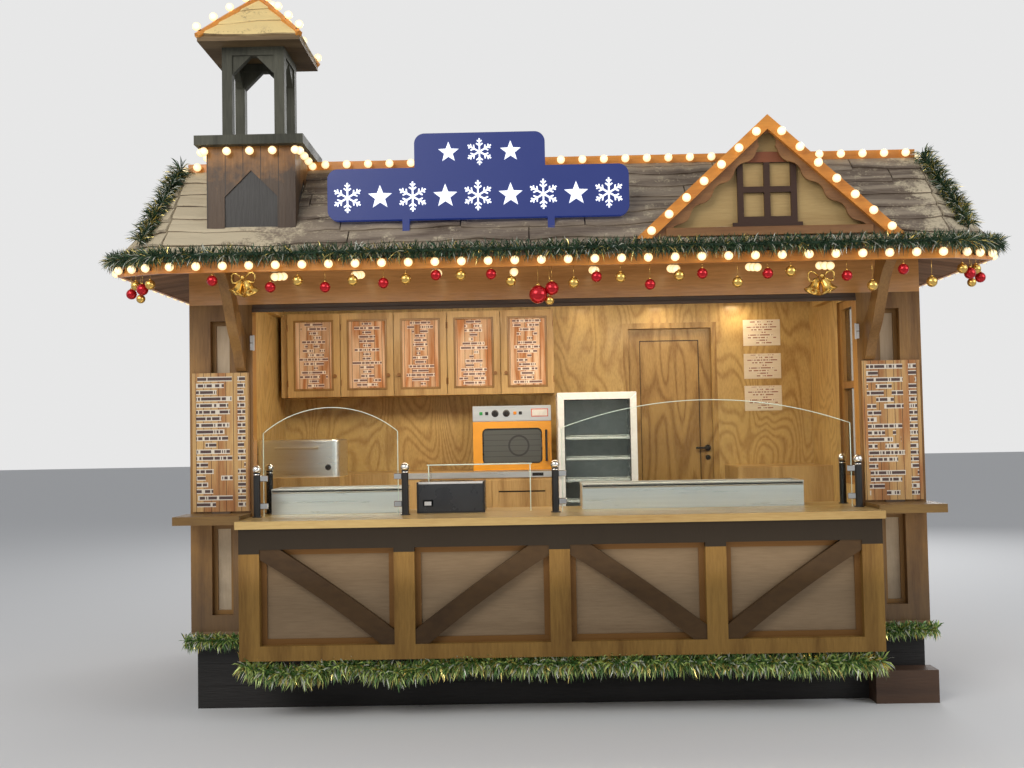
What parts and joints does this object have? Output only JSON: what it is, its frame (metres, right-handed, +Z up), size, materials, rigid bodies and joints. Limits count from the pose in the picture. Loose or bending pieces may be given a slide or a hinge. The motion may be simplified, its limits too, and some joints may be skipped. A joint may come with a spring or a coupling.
{
  "type": "wooden market hut",
  "caption": "Timber market hut with a service counter, glass guards, false mansard roof, belfry turret, dormer, wall cabinet, oven, fridge and a hinged back door.",
  "frame": {"origin": "middle of the footprint of the eave garlands, at ground level", "axes": "+X to the right of somebody who looks at the counter, +Y from the counter to the back wall, +Z up"},
  "size_m": [5.3786, 3.5596, 4.32],
  "materials": {
    "skirt": "matt black stained boards",
    "bearers": "rough sawn",
    "plinth": "dark stained",
    "floor": "worn boards",
    "frame_timber": "satin varnish",
    "lintel": "gloss varnish",
    "wall_panel": "painted outside, plywood inside",
    "window_timber": "satin varnish",
    "glass": "clear",
    "door_timber": "satin varnish",
    "dark_metal": "satin",
    "ceiling": "varnished plywood",
    "deck": "roofing felt on boards",
    "soffit": "varnished boards",
    "trim_boards": "satin varnish",
    "roof_boards": "weathered boards dusted with snow",
    "turret_timber": "satin varnish",
    "dark_boards": "weathered",
    "cream_panel": "cream paint, dark window frame",
    "sign_panel": "satin dark blue",
    "counter_wood": "oiled",
    "menu_board": "printed planks",
    "cabinet_timber": "varnished plywood",
    "oven_metal": "brushed",
    "oven_orange": "gloss",
    "white_metal": "gloss white",
    "fridge_glass": "clear pane in a white frame",
    "steel": "brushed",
    "black_box": "satin black",
    "tinsel": "green tinsel"
  },
  "bodies": {
    "hut": {"base_skirt": "skirt", "base_bearers": "bearers", "plinth_block": "plinth", "floor": "floor", "left_wall_frame": "frame_timber", "right_wall_frame": "frame_timber", "back_wall_frame": "frame_timber", "over_door_board": "frame_timber", "front_piers": "frame_timber", "front_lintel": "lintel", "front_sill_wall": "frame_timber", "wall_panels": "wall_panel", "right_window_frame": "window_timber", "right_window_glass": "glass", "back_door_lining": "frame_timber", "ceiling": "ceiling", "roof_deck": "deck", "canopy_soffit": "soffit", "eave_fascia": "trim_boards", "ridge_boards": "trim_boards", "roof_front_slope": "roof_boards", "roof_back_slope": "roof_boards", "roof_left_slope": "roof_boards", "roof_right_slope": "roof_boards", "turret_box": "turret_timber", "turret_cap": "dark_boards", "belfry_frame": "dark_boards", "turret_roof": "roof_boards", "dormer_roof": "roof_boards", "dormer_wall": "cream_panel", "dormer_barge_boards": "trim_boards", "dormer_scalloped_boards": "lintel", "sign_panel": "sign_panel", "counter_top": "counter_wood", "counter_frame": "frame_timber", "counter_panels": "cream_panel", "counter_braces": "frame_timber", "side_shelves": "counter_wood", "menu_boards": "menu_board", "eave_brackets": "frame_timber", "wall_cabinet": "cabinet_timber", "back_counters": "cabinet_timber", "oven_body": "oven_metal", "fridge_body": "white_metal", "griddles": "steel", "warming_box": "black_box", "roaster": "steel", "guard_posts": "dark_metal", "guard_glass": "glass", "eave_garlands": "tinsel", "base_garlands": "tinsel"},
    "back_door": {"back_door": "door_timber", "back_door_hardware": "dark_metal"},
    "oven_door": {"oven_door": "oven_orange"},
    "fridge_door": {"fridge_door": "fridge_glass"},
    "cabinet_door_1": {"cabinet_door_1": "cabinet_timber"},
    "cabinet_door_2": {"cabinet_door_2": "cabinet_timber"},
    "cabinet_door_3": {"cabinet_door_3": "cabinet_timber"},
    "cabinet_door_4": {"cabinet_door_4": "cabinet_timber"},
    "cabinet_door_5": {"cabinet_door_5": "cabinet_timber"}
  },
  "joints": [
    {"name": "back_door_hinge", "type": "hinge", "parent": "hut", "child": "back_door", "pos_m": [0.6485, 1.3473, 1.47], "axis": [0, 0, 1], "range_deg": [0, 100]},
    {"name": "oven_door_hinge", "type": "hinge", "parent": "hut", "child": "oven_door", "pos_m": [-0.587, 0.6785, 1.5525], "axis": [0, 0, -1], "range_deg": [0, 100]},
    {"name": "fridge_door_hinge", "type": "hinge", "parent": "hut", "child": "fridge_door", "pos_m": [0.056, 0.2885, 1.2825], "axis": [0, 0, -1], "range_deg": [0, 100]},
    {"name": "cabinet_door_1_hinge", "type": "hinge", "parent": "hut", "child": "cabinet_door_1", "pos_m": [-2.0545, 0.8877, 2.29], "axis": [0, 0, -1], "range_deg": [0, 85]},
    {"name": "cabinet_door_2_hinge", "type": "hinge", "parent": "hut", "child": "cabinet_door_2", "pos_m": [-1.6325, 0.8877, 2.29], "axis": [0, 0, -1], "range_deg": [0, 85]},
    {"name": "cabinet_door_3_hinge", "type": "hinge", "parent": "hut", "child": "cabinet_door_3", "pos_m": [-0.7995, 0.8877, 2.29], "axis": [0, 0, 1], "range_deg": [0, 85]},
    {"name": "cabinet_door_4_hinge", "type": "hinge", "parent": "hut", "child": "cabinet_door_4", "pos_m": [-0.7885, 0.8877, 2.29], "axis": [0, 0, -1], "range_deg": [0, 85]},
    {"name": "cabinet_door_5_hinge", "type": "hinge", "parent": "hut", "child": "cabinet_door_5", "pos_m": [0.0445, 0.8877, 2.29], "axis": [0, 0, 1], "range_deg": [0, 85]}
  ]
}
